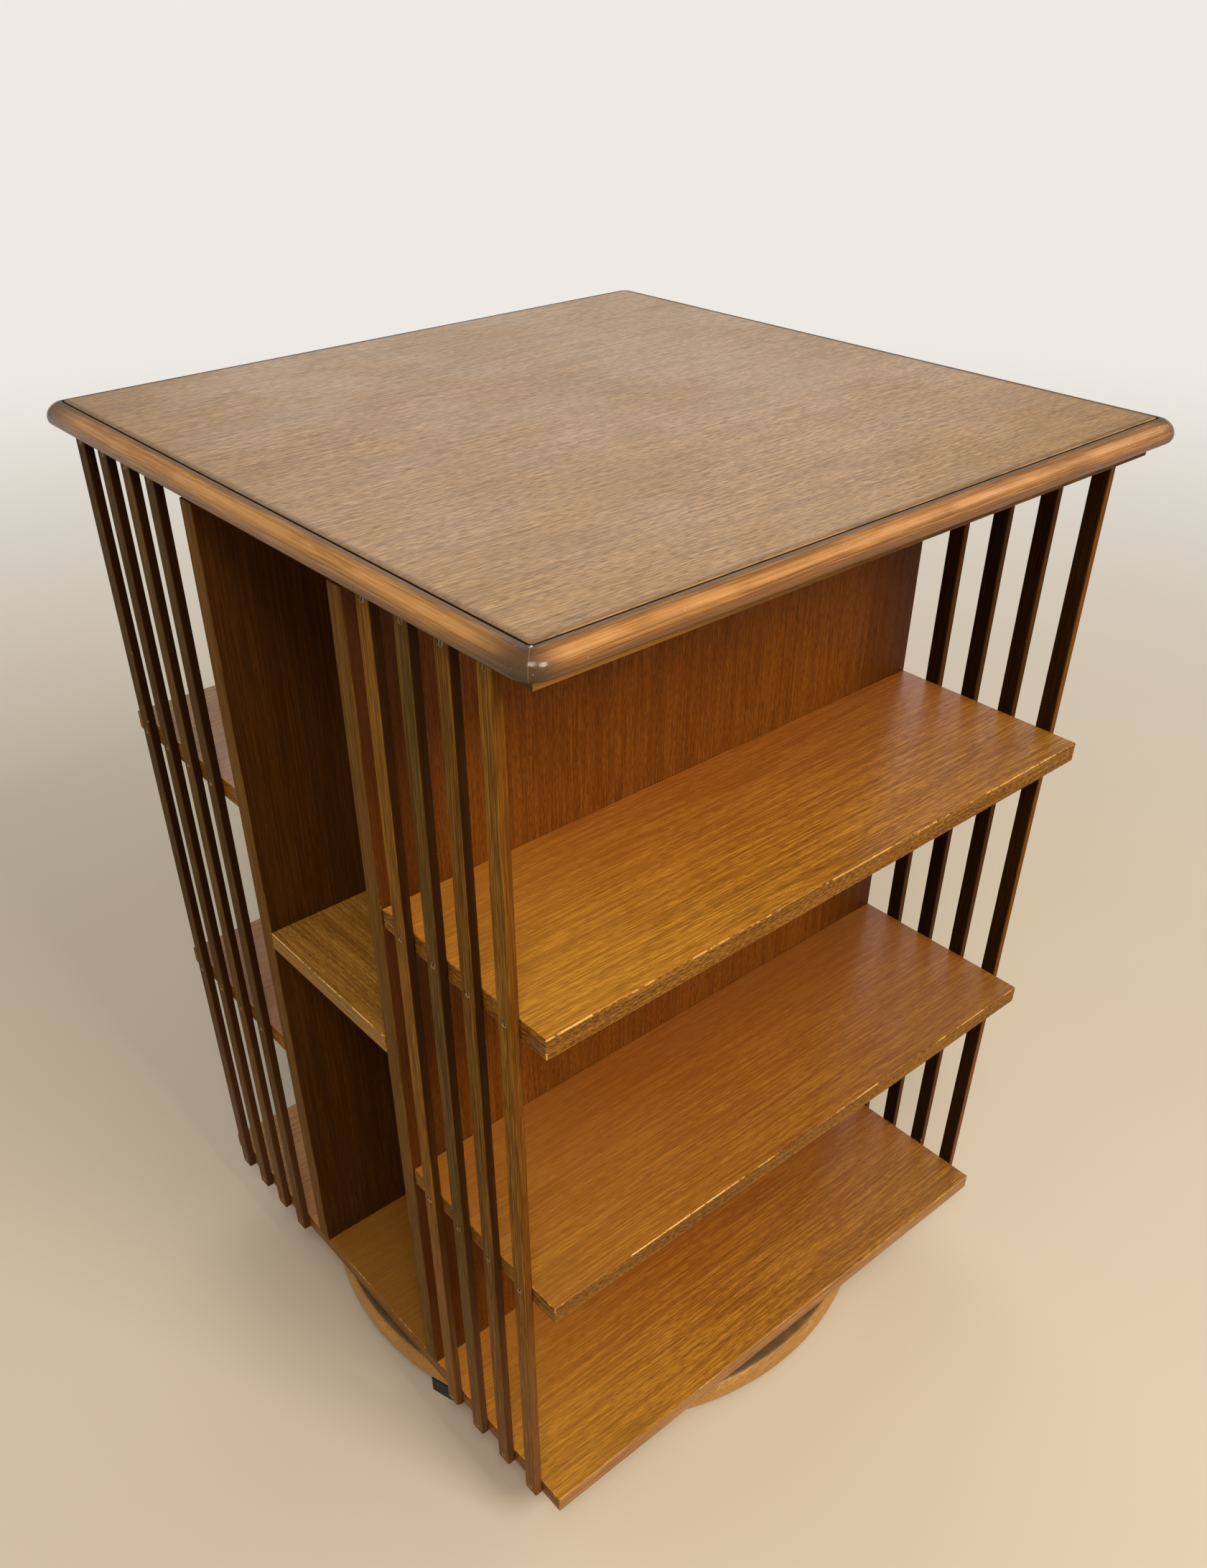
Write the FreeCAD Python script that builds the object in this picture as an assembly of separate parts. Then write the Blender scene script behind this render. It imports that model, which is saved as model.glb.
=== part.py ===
import FreeCAD
import Part
import math
import os

# Revolving bookcase in millimetres: the floor is z = 0 and the spindle stands on the origin
# The long shelves face front (-Y) and back (+Y), the slatted ends are left (-X) and right (+X)

# Carcass sizes
carcass_width = 538.0
board_thickness = 16.0
bottom_clear_height = 234.0
middle_clear_height = 234.0
top_clear_height = 223.0
niche_clear_height = 360.5
channel_width = 165.0
edge_overhang = 1.6
core_length = 190.0
divider_thickness = 12.0
arris_radius = 0.6

# Top sizes
sub_top_thickness = 10.0
sub_rail_width = 60.0
panel_overhang = 1.3
top_thickness = 16.0
panel_corner_radius = 2.0
panel_proud = 0.8
lipping_width = 13.9
lipping_toe_radius = 5.0
groove_width = 1.2
groove_depth = 1.6

# Slat sizes, for the slats on each half of a slatted end
slats_in_group = 4
slat_width = 14.0
slat_thickness = 7.0
slat_inset = 22.5
slat_partition_gap = 23.9
slat_arris = 0.9

# Base sizes
disc_radius = 272.0
disc_thickness = 24.0
disc_edge_round = 8.0
board_gap = 23.0
foot_count = 3
foot_length = 34.0
foot_depth = 34.0
foot_height = 17.0
foot_inset = 1.0
foot_corner_round = 3.0
foot_edge_round = 1.5
foot_tenon_radius = 8.0
first_foot_angle = 78.4

# Spindle, flange and bearing sizes
spindle_radius = 10.0
spindle_rise = 190.0
running_clearance = 0.05
flange_radius = 65.0
flange_thickness = 6.0
hub_radius = 20.0
hub_clearance = 5.0
flange_screw_count = 4
bush_wall = 4.0
bush_collar_width = 6.0
bush_collar_thickness = 2.5
ball_radius = 6.0
ball_pocket_depth = 4.0
ball_clearance = 0.1
thrust_clearance = 0.2
cup_engagement = 12.0
cup_wall = 7.0
cup_collar_width = 9.0
cup_collar_thickness = 3.0
block_cover = 12.0
block_width = 64.0

# Fastener sizes
screw_head_radius = 2.6
screw_head_height = 1.8
screw_shank_radius = 1.4
screw_length = 22.0
screw_sink = 0.3
screw_slot_width = 0.8
screw_slot_depth = 0.8
flange_screw_head_radius = 5.0
flange_screw_head_height = 3.2
flange_screw_shank_radius = 2.4
dowel_radius = 4.0
dowel_reach = 20.0
dowel_margin = 38.0
long_shelf_dowels = 3

# Shares of the walls that they are cut from
round_limit_share = 0.45
blind_depth_share = 0.6
slot_limit_share = 0.4
shelf_screw_height_share = 0.8

# Levels, from the floor up
disc_bottom = foot_height
disc_top = disc_bottom + disc_thickness
board_bottom = disc_top + board_gap
board_top = board_bottom + board_thickness
lower_shelf_bottom = board_top + bottom_clear_height
lower_shelf_top = lower_shelf_bottom + board_thickness
upper_shelf_bottom = lower_shelf_top + middle_clear_height
upper_shelf_top = upper_shelf_bottom + board_thickness
sub_top_bottom = upper_shelf_top + top_clear_height
sub_top_top = sub_top_bottom + sub_top_thickness
top_surface = sub_top_top + top_thickness
niche_shelf_bottom = board_top + niche_clear_height
niche_shelf_top = niche_shelf_bottom + board_thickness
hub_top = board_bottom - hub_clearance

# Places across the plan
half_carcass = carcass_width / 2
half_panel = half_carcass + panel_overhang
shelf_line = half_carcass + edge_overhang
channel_front = -channel_width / 2
channel_back = channel_width / 2
partition_front_face = channel_front - board_thickness
partition_back_face = channel_back + board_thickness
divider_face = core_length / 2
slat_face = half_carcass + slat_thickness
rail_line = half_carcass - sub_rail_width / 2
outer_slat_line = half_carcass - slat_inset - slat_width / 2
inner_slat_line = channel_width / 2 + board_thickness + slat_partition_gap + slat_width / 2
flange_screw_circle = (hub_radius + flange_radius) / 2

# Places along the spindle
spindle_top = board_top + spindle_rise
ball_centre = spindle_top - ball_pocket_depth + ball_radius
cup_bottom = spindle_top - cup_engagement
cup_ceiling = ball_centre + ball_radius + thrust_clearance
cup_top = cup_ceiling + cup_wall
block_bottom = cup_bottom + cup_collar_thickness
block_top = cup_top + block_cover
bearing_bore_radius = spindle_radius + running_clearance

# Depths of blind holes and the lengths of what goes into them
disc_socket_depth = blind_depth_share * disc_thickness
flange_screw_length = flange_thickness + disc_socket_depth
top_screw_length = sub_top_thickness + blind_depth_share * top_thickness

up = FreeCAD.Vector(0, 0, 1)
origin = FreeCAD.Vector(0, 0, 0)


# A plain board between two opposite corners
def board(low, high):
    size = FreeCAD.Vector(*high) - FreeCAD.Vector(*low)
    return Part.makeBox(size.x, size.y, size.z, FreeCAD.Vector(*low))


# An upright round bar on the spindle's axis, from one level to another
def bar(radius, low, high):
    return Part.makeCylinder(radius, high - low, FreeCAD.Vector(0, 0, low))


# The upright edges of a solid
def upright_edges(solid):
    steep = math.cos(math.pi / 4)
    return [edge for edge in solid.Edges if abs(edge.tangentAt(edge.FirstParameter).z) > steep]


# A solid with the edges that the test accepts rounded over
def eased(solid, radius, accepts):
    edges = [edge for edge in solid.Edges if all(accepts(vertex.Point) for vertex in edge.Vertexes)]
    return solid.makeFillet(radius, edges)


# A board with its outer arrises eased, where it reaches the outside of the carcass
def shelf_board(low, high):
    def outside(point):
        return max(abs(point.x), abs(point.y)) > half_carcass - arris_radius
    radius = min(arris_radius, round_limit_share * (high[2] - low[2]))
    return eased(board(low, high), radius, outside)


# A solid with room cut for each of the inserts that reach into it
def fitted(solid, inserts):
    near = [insert for insert in inserts if insert.BoundBox.intersect(solid.BoundBox)]
    return solid.cut(near) if near else solid


# A dowel along an axis, from one end point
def dowel(start, axis, length):
    return Part.makeCylinder(dowel_radius, length, start, axis)


# A countersunk screw without its slot, its head at the start and its tip along the axis
def screw_blank(start, axis, head_radius, head_height, shank_radius, length):
    head = Part.makeCone(head_radius, shank_radius, head_height, start, axis)
    shank = Part.makeCylinder(shank_radius, length, start, axis)
    return head.fuse(shank).removeSplitter()


# The driver slot across a screw's head
def screw_slot(start, axis, head_radius, head_height, width, turn):
    depth = min(screw_slot_depth, slot_limit_share * head_height)
    corner = FreeCAD.Vector(-head_radius, -width / 2, 0)
    slot = Part.makeBox(2 * head_radius, width, depth, corner)
    slot.rotate(origin, up, turn)
    slot.Placement = FreeCAD.Placement(start, FreeCAD.Rotation(up, axis)).multiply(slot.Placement)
    return slot


# Ring-shaped or round solid turned from a closed outline of radius and height
def turned(outline):
    return Part.Face(Part.Wire(outline)).revolve(origin, up, math.degrees(2 * math.pi))


def line(start, end):
    return Part.makeLine(FreeCAD.Vector(start[0], 0, start[1]), FreeCAD.Vector(end[0], 0, end[1]))


# Upright rectangle of radius and height between two opposite corners
def board_face(low, high):
    corners = [low, (high[0], low[1]), high, (low[0], high[1]), low]
    return Part.Face(Part.Wire([line(start, end) for start, end in zip(corners, corners[1:])]))


# Quarter of an ellipse from one point to another, bulging to the corner between them
def quarter(start, corner, end):
    curve = Part.BezierCurve()
    curve.setPoles([FreeCAD.Vector(point[0], 0, point[1]) for point in (start, corner, end)])
    curve.setWeight(2, math.cos(math.pi / 4))
    return curve.toShape()


# Round base disc with both edges rounded over
def base_disc():
    radius = min(disc_edge_round, round_limit_share * disc_thickness)
    flat = disc_radius - radius
    low = disc_bottom
    high = disc_top
    return turned([
        line((0, low), (flat, low)),
        quarter((flat, low), (disc_radius, low), (disc_radius, low + radius)),
        line((disc_radius, low + radius), (disc_radius, high - radius)),
        quarter((disc_radius, high - radius), (disc_radius, high), (flat, high)),
        line((flat, high), (0, high)),
        line((0, high), (0, low)),
    ])


# Foot block that follows the disc's rim, with a tenon that is glued into the disc
def foot(index):
    outer = disc_radius - foot_inset
    inner = outer - foot_depth
    turn = math.degrees(foot_length / outer)
    section = board_face((inner, 0), (outer, foot_height))
    block = section.revolve(origin, up, turn)
    block = block.makeFillet(min(foot_corner_round, round_limit_share * foot_depth), upright_edges(block))
    radius = min(foot_edge_round, round_limit_share * foot_height)
    block = eased(block, radius, lambda point: point.z < radius)
    block.rotate(origin, up, -turn / 2)
    tenon = bar(foot_tenon_radius, foot_height, foot_height + disc_socket_depth)
    tenon.translate(FreeCAD.Vector((inner + outer) / 2, 0, 0))
    solid = block.fuse(tenon).removeSplitter()
    solid.rotate(origin, up, first_foot_angle + index * math.degrees(2 * math.pi) / foot_count)
    return solid


# Steel flange with the hub that holds the spindle
def spindle_flange():
    plate = bar(flange_radius, disc_top, disc_top + flange_thickness)
    hub = bar(hub_radius, disc_top, hub_top)
    return plate.fuse(hub).removeSplitter()


# Steel spindle, from its seat in the disc to the pocket for the thrust ball
def spindle():
    shaft = bar(spindle_radius, disc_top - disc_socket_depth, spindle_top)
    pocket = bar(ball_radius + ball_clearance, spindle_top - ball_pocket_depth, spindle_top)
    return shaft.cut(pocket)


# Collared bush in the bottom board
def lower_bush():
    outer = bearing_bore_radius + bush_wall
    sleeve = bar(outer, board_bottom, board_top)
    collar = bar(outer + bush_collar_width, board_top, board_top + bush_collar_thickness)
    bore = bar(bearing_bore_radius, board_bottom, board_top + bush_collar_thickness)
    return sleeve.fuse(collar).removeSplitter().cut(bore)


# Collared cup that turns on the thrust ball
def pivot_cup():
    outer = bearing_bore_radius + cup_wall
    body = bar(outer, cup_bottom, cup_top)
    collar = bar(outer + cup_collar_width, cup_bottom, block_bottom)
    bore = bar(bearing_bore_radius, cup_bottom, cup_ceiling)
    return body.fuse(collar).removeSplitter().cut(bore)


# Mitred rail of the frame under the top, on the right-hand side
def sub_rail():
    inner = half_carcass - sub_rail_width
    corners = [(half_carcass, -half_carcass), (half_carcass, half_carcass), (inner, inner), (inner, -inner)]
    points = [FreeCAD.Vector(x, y, sub_top_bottom) for x, y in corners]
    rail = Part.Face(Part.makePolygon(points + points[:1])).extrude(up * sub_top_thickness)

    def outside_below(point):
        return point.x > half_carcass - arris_radius and point.z < sub_top_bottom + arris_radius
    return eased(rail, min(arris_radius, round_limit_share * sub_top_thickness), outside_below)


# Outline of the lipping around the top, out from the panel's edge
def lipping_outline():
    foot_level = sub_top_top
    crown = top_surface - panel_proud
    toe = min(lipping_toe_radius, round_limit_share * (crown - foot_level))
    ledge = min(groove_width, round_limit_share * lipping_width)
    inner = half_panel
    outer = half_panel + lipping_width
    nose = foot_level + toe
    return [
        line((inner, foot_level), (outer - toe, foot_level)),
        quarter((outer - toe, foot_level), (outer, foot_level), (outer, nose)),
        quarter((outer, nose), (outer, crown), (inner + ledge, crown)),
        line((inner + ledge, crown), (inner + ledge, crown - groove_depth)),
        line((inner + ledge, crown - groove_depth), (inner, crown - groove_depth)),
        line((inner, crown - groove_depth), (inner, foot_level)),
    ]


# Bullnosed lipping on the right-hand side, with half of each rounded corner
def top_lipping():
    reach = half_panel - panel_corner_radius
    section = Part.Face(Part.Wire(lipping_outline()))
    start = section.translated(FreeCAD.Vector(0, -reach, 0))
    end = section.translated(FreeCAD.Vector(0, reach, 0))
    half_corner = math.degrees(math.pi / 4)
    straight = start.extrude(FreeCAD.Vector(0, 2 * reach, 0))
    near = start.revolve(FreeCAD.Vector(reach, -reach, 0), up, -half_corner)
    far = end.revolve(FreeCAD.Vector(reach, reach, 0), up, half_corner)
    return straight.fuse([near, far]).removeSplitter()


# Top panel, with small round corners
def top_panel():
    low = (-half_panel, -half_panel, sub_top_top)
    high = (half_panel, half_panel, top_surface)
    panel = board(low, high)
    panel = panel.makeFillet(panel_corner_radius, upright_edges(panel))
    return eased(panel, arris_radius, lambda point: point.z > top_surface - arris_radius)


# A copy of a solid turned by a number of quarter turns about the spindle
def quarter_turns(solid, count):
    copy = solid.copy()
    copy.rotate(origin, up, count * math.degrees(math.pi / 2))
    return copy


# Sideways place of each slat's middle on the far half of an end, from the corner inwards
def slat_lines():
    pitch = (outer_slat_line - inner_slat_line) / (slats_in_group - 1)
    return [outer_slat_line - index * pitch for index in range(slats_in_group)]


# One slat: side is -1 for the left end or 1 for the right, line its place along Y
def slat(side, line_y):
    low_x, high_x = sorted((side * half_carcass, side * slat_face))
    low = (low_x, line_y - slat_width / 2, board_bottom)
    high = (high_x, line_y + slat_width / 2, sub_top_top)
    solid = board(low, high)
    return solid.makeFillet(min(slat_arris, round_limit_share * slat_thickness), upright_edges(solid))


# Screws of one row, one through each slat into the boards at this level
def slat_screws(level):
    blanks = []
    screws = []
    count = 0
    head = (screw_head_radius, screw_head_height)
    for side in (-1, 1):
        axis = FreeCAD.Vector(-side, 0, 0)
        for sign in (-1, 1):
            for line_y in slat_lines():
                face = FreeCAD.Vector(side * slat_face, sign * line_y, level)
                start = face + axis * screw_sink
                blank = screw_blank(start, axis, *head, screw_shank_radius, screw_length)
                slot = screw_slot(start, axis, *head, screw_slot_width, slot_turn(count))
                mouth = Part.makeCylinder(screw_head_radius, screw_sink, face, axis)
                blanks.append(blank.fuse(mouth).removeSplitter())
                screws.append(blank.cut(slot))
                count += 1
    return blanks, screws


# A slot stops where the driver left it, so each screw's slot lies another way
def slot_turn(count):
    golden_turn = math.degrees(math.pi) * (math.sqrt(5) - 1)
    return count * golden_turn


# Screws that hold the flange down on the disc
def flange_screws():
    blanks = []
    screws = []
    head = (flange_screw_head_radius, flange_screw_head_height)
    for index in range(flange_screw_count):
        angle = 2 * math.pi * (index + 1 / 2) / flange_screw_count
        place = FreeCAD.Vector(math.cos(angle), math.sin(angle), 0) * flange_screw_circle
        start = place + up * (disc_top + flange_thickness)
        blank = screw_blank(start, -up, *head, flange_screw_shank_radius, flange_screw_length)
        slot = screw_slot(start, -up, *head, screw_slot_width, slot_turn(index))
        blanks.append(blank)
        screws.append(blank.cut(slot))
    return blanks, screws


# Screws that hold the top panel down on its frame, driven from below
def top_screws():
    blanks = []
    screws = []
    head = (screw_head_radius, screw_head_height)
    for x in (-rail_line, 0, rail_line):
        for y in (-rail_line, 0, rail_line):
            if x == 0 and y == 0:
                continue
            start = FreeCAD.Vector(x, y, sub_top_bottom)
            blank = screw_blank(start, up, *head, screw_shank_radius, top_screw_length)
            slot = screw_slot(start, up, *head, screw_slot_width, slot_turn(len(screws)))
            blanks.append(blank)
            screws.append(blank.cut(slot))
    return blanks, screws


# Dowels between the partitions and the shelves on both sides of them
def shelf_dowels():
    depth = blind_depth_share * board_thickness
    dowels = []
    reach = half_carcass - dowel_margin
    spots = [reach * (2 * index / (long_shelf_dowels - 1) - 1) for index in range(long_shelf_dowels)]
    for low in (lower_shelf_bottom, upper_shelf_bottom):
        for x in spots:
            front = FreeCAD.Vector(x, partition_front_face - dowel_reach, low + board_thickness / 2)
            back = FreeCAD.Vector(x, partition_back_face - depth, low + board_thickness / 2)
            dowels.append(dowel(front, FreeCAD.Vector(0, 1, 0), dowel_reach + depth))
            dowels.append(dowel(back, FreeCAD.Vector(0, 1, 0), dowel_reach + depth))
    for side in (-1, 1):
        for x in (side * reach, side * (divider_face + dowel_margin)):
            front = FreeCAD.Vector(x, channel_front - depth, niche_shelf_bottom + board_thickness / 2)
            back = FreeCAD.Vector(x, channel_back - dowel_reach, niche_shelf_bottom + board_thickness / 2)
            dowels.append(dowel(front, FreeCAD.Vector(0, 1, 0), dowel_reach + depth))
            dowels.append(dowel(back, FreeCAD.Vector(0, 1, 0), dowel_reach + depth))
    return dowels


# Upright dowels between the partitions and the boards below and above them
def partition_dowels():
    depth_below = blind_depth_share * board_thickness
    depth_above = blind_depth_share * sub_top_thickness
    lines = (channel_front - board_thickness / 2, channel_back + board_thickness / 2)
    dowels = []
    for y in lines:
        for x in (-half_carcass + dowel_margin, -divider_face, divider_face, half_carcass - dowel_margin):
            below = FreeCAD.Vector(x, y, board_top - depth_below)
            above = FreeCAD.Vector(x, y, sub_top_bottom - dowel_reach)
            dowels.append(dowel(below, up, depth_below + dowel_reach))
            dowels.append(dowel(above, up, dowel_reach + depth_above))
    return dowels


# Everything is gathered here as one shape per node, then written out
nodes = {}

# Fasteners come first, because the boards are drilled to fit them
shelf_dowel_set = shelf_dowels()
partition_dowel_set = partition_dowels()
flange_blanks, flange_screw_set = flange_screws()
top_blanks, top_screw_set = top_screws()
screw_rows = {
    "slat_screws_bottom": (board_bottom + board_top) / 2,
    "slat_screws_lower": lower_shelf_bottom + shelf_screw_height_share * board_thickness,
    "slat_screws_upper": upper_shelf_bottom + shelf_screw_height_share * board_thickness,
    "slat_screws_top": (sub_top_bottom + sub_top_top) / 2,
}
slat_blanks = []
for name, level in screw_rows.items():
    row_blanks, row_screws = slat_screws(level)
    slat_blanks += row_blanks
    nodes[name] = Part.makeCompound(row_screws)
nodes["flange_screws"] = Part.makeCompound(flange_screw_set)
nodes["top_screws"] = Part.makeCompound(top_screw_set)
nodes["shelf_dowels"] = Part.makeCompound(shelf_dowel_set)
nodes["partition_dowels"] = Part.makeCompound(partition_dowel_set)
carcass_inserts = shelf_dowel_set + partition_dowel_set + slat_blanks + top_blanks

# Base: disc, feet, flange, spindle and ball stay still while the carcass turns
feet = [foot(index) for index in range(foot_count)]
nodes["spindle"] = spindle()
nodes["spindle_flange"] = fitted(spindle_flange(), flange_blanks + [nodes["spindle"]])
nodes["base_disc"] = fitted(base_disc(), feet + flange_blanks + [nodes["spindle"]])
nodes["thrust_ball"] = Part.makeSphere(ball_radius, FreeCAD.Vector(0, 0, ball_centre))
for index, solid in enumerate(feet):
    nodes["foot_" + str(index + 1)] = solid

# Bearings and the block that carries the upper one
nodes["lower_bush"] = lower_bush()
nodes["pivot_cup"] = pivot_cup()
block_low = (-block_width / 2, channel_front, block_bottom)
block_high = (block_width / 2, channel_back, block_top)
cup_socket = bar(bearing_bore_radius + cup_wall, block_bottom, cup_top)
nodes["pivot_block"] = board(block_low, block_high).cut(cup_socket)

# Bottom board, drilled for the bush
bottom_low = (-half_carcass, -half_carcass, board_bottom)
bottom_high = (half_carcass, half_carcass, board_top)
bush_hole = bar(bearing_bore_radius + bush_wall, board_bottom, board_top)
nodes["bottom_board"] = fitted(shelf_board(bottom_low, bottom_high), carcass_inserts + [bush_hole])

# The two long partitions and the two dividers between them make the closed box round the spindle
for name, low_y in (("partition_front", partition_front_face), ("partition_back", channel_back)):
    low = (-shelf_line, low_y, board_top)
    high = (shelf_line, low_y + board_thickness, sub_top_bottom)
    nodes[name] = fitted(shelf_board(low, high), carcass_inserts)
for name, side in (("divider_left", -1), ("divider_right", 1)):
    low_x, high_x = sorted((side * divider_face, side * (divider_face - divider_thickness)))
    nodes[name] = board((low_x, channel_front, board_top), (high_x, channel_back, sub_top_bottom))

# Long shelves in front of and behind the partitions, and the shelf in each end niche
for row, low_z in (("lower", lower_shelf_bottom), ("upper", upper_shelf_bottom)):
    spans = {"front": (-shelf_line, partition_front_face), "back": (partition_back_face, shelf_line)}
    for side, (low_y, high_y) in spans.items():
        solid = shelf_board((-half_carcass, low_y, low_z), (half_carcass, high_y, low_z + board_thickness))
        nodes["shelf_" + side + "_" + row] = fitted(solid, carcass_inserts)
for name, side in (("niche_shelf_left", -1), ("niche_shelf_right", 1)):
    low_x, high_x = sorted((side * shelf_line, side * divider_face))
    solid = shelf_board((low_x, channel_front, niche_shelf_bottom), (high_x, channel_back, niche_shelf_top))
    nodes[name] = fitted(solid, carcass_inserts)

# Frame and board under the top, then the top panel and its lippings
field = half_carcass - sub_rail_width
sub_board = board((-field, -field, sub_top_bottom), (field, field, sub_top_top))
nodes["sub_top"] = fitted(sub_board, carcass_inserts)
nodes["top_panel"] = fitted(top_panel(), top_blanks)
rail = sub_rail()
lipping = top_lipping()
for count, side in enumerate(("right", "back", "left", "front")):
    nodes["sub_rail_" + side] = fitted(quarter_turns(rail, count), carcass_inserts)
    nodes["top_lipping_" + side] = quarter_turns(lipping, count)

# Slats on both ends, numbered from the front corner to the back corner
slat_places = [-line_y for line_y in slat_lines()] + slat_lines()[::-1]
for name, side in (("left", -1), ("right", 1)):
    for index, line_y in enumerate(slat_places):
        nodes["slat_" + name + "_" + str(index + 1)] = fitted(slat(side, line_y), slat_blanks)

os.makedirs("parts", exist_ok=True)
for name, shape in nodes.items():
    shape.exportStep("parts/" + name + ".step")
print(len(nodes), "nodes written, height", top_surface, "width", 2 * (half_panel + lipping_width))
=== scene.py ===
import math

import bpy
from mathutils import Matrix, Vector


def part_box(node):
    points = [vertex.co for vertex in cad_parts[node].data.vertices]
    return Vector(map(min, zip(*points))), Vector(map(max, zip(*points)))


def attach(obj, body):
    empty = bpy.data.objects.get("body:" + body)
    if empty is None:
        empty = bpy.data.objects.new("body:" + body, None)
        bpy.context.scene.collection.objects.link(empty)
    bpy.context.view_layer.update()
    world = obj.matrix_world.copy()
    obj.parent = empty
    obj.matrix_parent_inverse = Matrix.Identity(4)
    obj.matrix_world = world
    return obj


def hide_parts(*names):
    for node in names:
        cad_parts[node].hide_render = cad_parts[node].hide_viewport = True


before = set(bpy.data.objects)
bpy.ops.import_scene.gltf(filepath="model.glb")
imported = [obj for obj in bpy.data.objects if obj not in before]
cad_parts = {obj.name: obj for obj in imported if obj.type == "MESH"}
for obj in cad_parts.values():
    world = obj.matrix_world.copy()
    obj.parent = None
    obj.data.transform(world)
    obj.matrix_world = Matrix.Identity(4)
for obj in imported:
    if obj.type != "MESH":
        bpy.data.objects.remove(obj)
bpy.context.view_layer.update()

# Revolving bookcase in metres: the floor is z = 0 and the spindle stands on the origin
# The long shelves face front (-Y) and back (+Y), the slatted ends are left (-X) and right (+X)
y_axis = 1
z_axis = 2
up = Vector((0, 0, 1))
nothing = 1e-6

# Spins go clockwise about their axis, so an axis that points down takes them anticlockwise in plan
spin_axis = (0, 0, -1)

# Arrises, and how far use has worn them back
board_arris = 0.0008
slat_arris = 0.0011
arris_steps = 3
arris_wear = 0.0003
dent_spacing = 0.012
dent_size = 0.02

# Shares of a normal along one axis: a face that leans past the first belongs to an arris, one past the
# second faces that way, one past the third lies nearer to it, and the last two bound the rolled edges
flat_side = 0.9995
facing_share = 0.9
nearer_share = 0.6
level_share = 0.99999
upright_share = 0.02

# Top panel and its lipping
panel_corner = 0.002
panel_roll = 0.0045
panel_roll_drop = 0.0008
panel_roll_steps = 7
panel_corner_steps = 6
lipping_toe = 0.005
lipping_nose_steps = 14
lipping_toe_steps = 8
lipping_corner_steps = 10
lipping_smooth_angle = math.radians(35)
groove_width = 0.0014
groove_depth = 0.0016

# Dark corners of the lipping, measured along it from its middle: they start nearer to it by
# end_corner_reach on the ends, and are darkest at corner_dark_line; a chip in the near mitre
front_corner_start = 0.26
end_corner_reach = 0.035
corner_dark_line = 0.286
chip_radius = 0.0014
chip_offset = 0.001

# Screws; the last three vary the lean of their slots from one screw to the next
screw_facets = 28
mouth_facets = 32
screw_radius = 0.0026
screw_mouth_radius = 0.0028
screw_sink = 0.0003
screw_head_rim = 0.0003
screw_head_height = 0.0018
screw_shank_radius = 0.0014
screw_length = 0.012
screw_slot_width = 0.0008
screw_slot_depth = 0.0007
screw_rim_bevel = 0.0002
screw_tilt = math.radians(24)
screw_turn_step = 2.4
screw_turn_rise = 5

# How far inside their middle line the outermost slats may reach
outermost_margin = 0.01

# Base
disc_facets = 192
disc_edge_round = 0.008
disc_edge_steps = 10
foot_inset = 0.001
foot_length = 0.034
foot_depth = 0.034
foot_corner = 0.003
foot_arris = 0.0015
foot_steps = 16
foot_corner_steps = 5
foot_sharp_angle = math.radians(50)
foot_smooth_angle = math.radians(40)
spindle_hole_radius = 0.01405
spindle_hole_facets = 64
foot_count = 3
first_foot_angle = math.radians(78.4)

# Knocked stretches of the outer arrises of the front shelves, from their left-hand corners
upper_knock = (Vector((-0.04, -0.002, -0.002)), Vector((0.04, 0.002, 0.002)))
lower_knock = (Vector((0.076, -0.0012, -0.0012)), Vector((0.184, 0.0012, 0.0012)))

# Camera, as the photograph was taken
camera_place = Vector((-0.61749, -0.72106, 1.09199))
camera_right = Vector((0.76473, -0.64429, -0.00885))
camera_ahead = Vector((0.51023, 0.61389, -0.60234))
camera_lens = 30.19
camera_sensor = 36
camera_shift = (0.0156, 0.0915)

# Studio: where the floor starts to fade into the backdrop and where it has, and the colours of the light
fade_start = 0.6
fade_end = 4.0
lamp_white = (1.0, 0.9, 0.78)
sky_white = (1.0, 0.97, 0.93, 1.0)


# A colour as a paint chart gives it, from 0 to 255, in the linear values that shaders take
def tone(red, green, blue):
    def linear(part):
        share = part / 255
        return share / 12.92 if share <= 0.04045 else ((share + 0.055) / 1.055) ** 2.4
    return (linear(red), linear(green), linear(blue), 1.0)


# Feeds a socket from another socket, or with a plain value
def feed(tree, socket, value):
    if isinstance(value, bpy.types.NodeSocket):
        tree.links.new(value, socket)
    else:
        socket.default_value = value


# Adds a shader node with its settings and whatever feeds its inputs
def add(tree, kind, inputs=None, **settings):
    node = tree.nodes.new("ShaderNode" + kind)
    for name, value in settings.items():
        setattr(node, name, value)
    for key, value in (inputs or {}).items():
        feed(tree, node.inputs[key], value)
    return node


def calc(tree, operation, first, second=0.0, clamp=False):
    return add(tree, "Math", {0: first, 1: second}, operation=operation, use_clamp=clamp).outputs[0]


def times(tree, first, second):
    return calc(tree, "MULTIPLY", first, second)


# Rises smoothly from start to end while the value goes from low to high
def rise(tree, value, low, high, start=0.0, end=1.0):
    inputs = {"Value": value, "From Min": low, "From Max": high, "To Min": start, "To Max": end}
    return add(tree, "MapRange", inputs, interpolation_type="SMOOTHSTEP").outputs["Result"]


def mix(tree, share, first, second):
    return add(tree, "Mix", {0: share, 6: first, 7: second}, data_type="RGBA").outputs[2]


# Cloudy noise whose patches are about this size
def clouds(tree, vector, size, detail=2.0, output="Fac"):
    inputs = {"Vector": vector, "Scale": 1 / size, "Detail": detail}
    return add(tree, "TexNoise", inputs).outputs[output]


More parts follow.
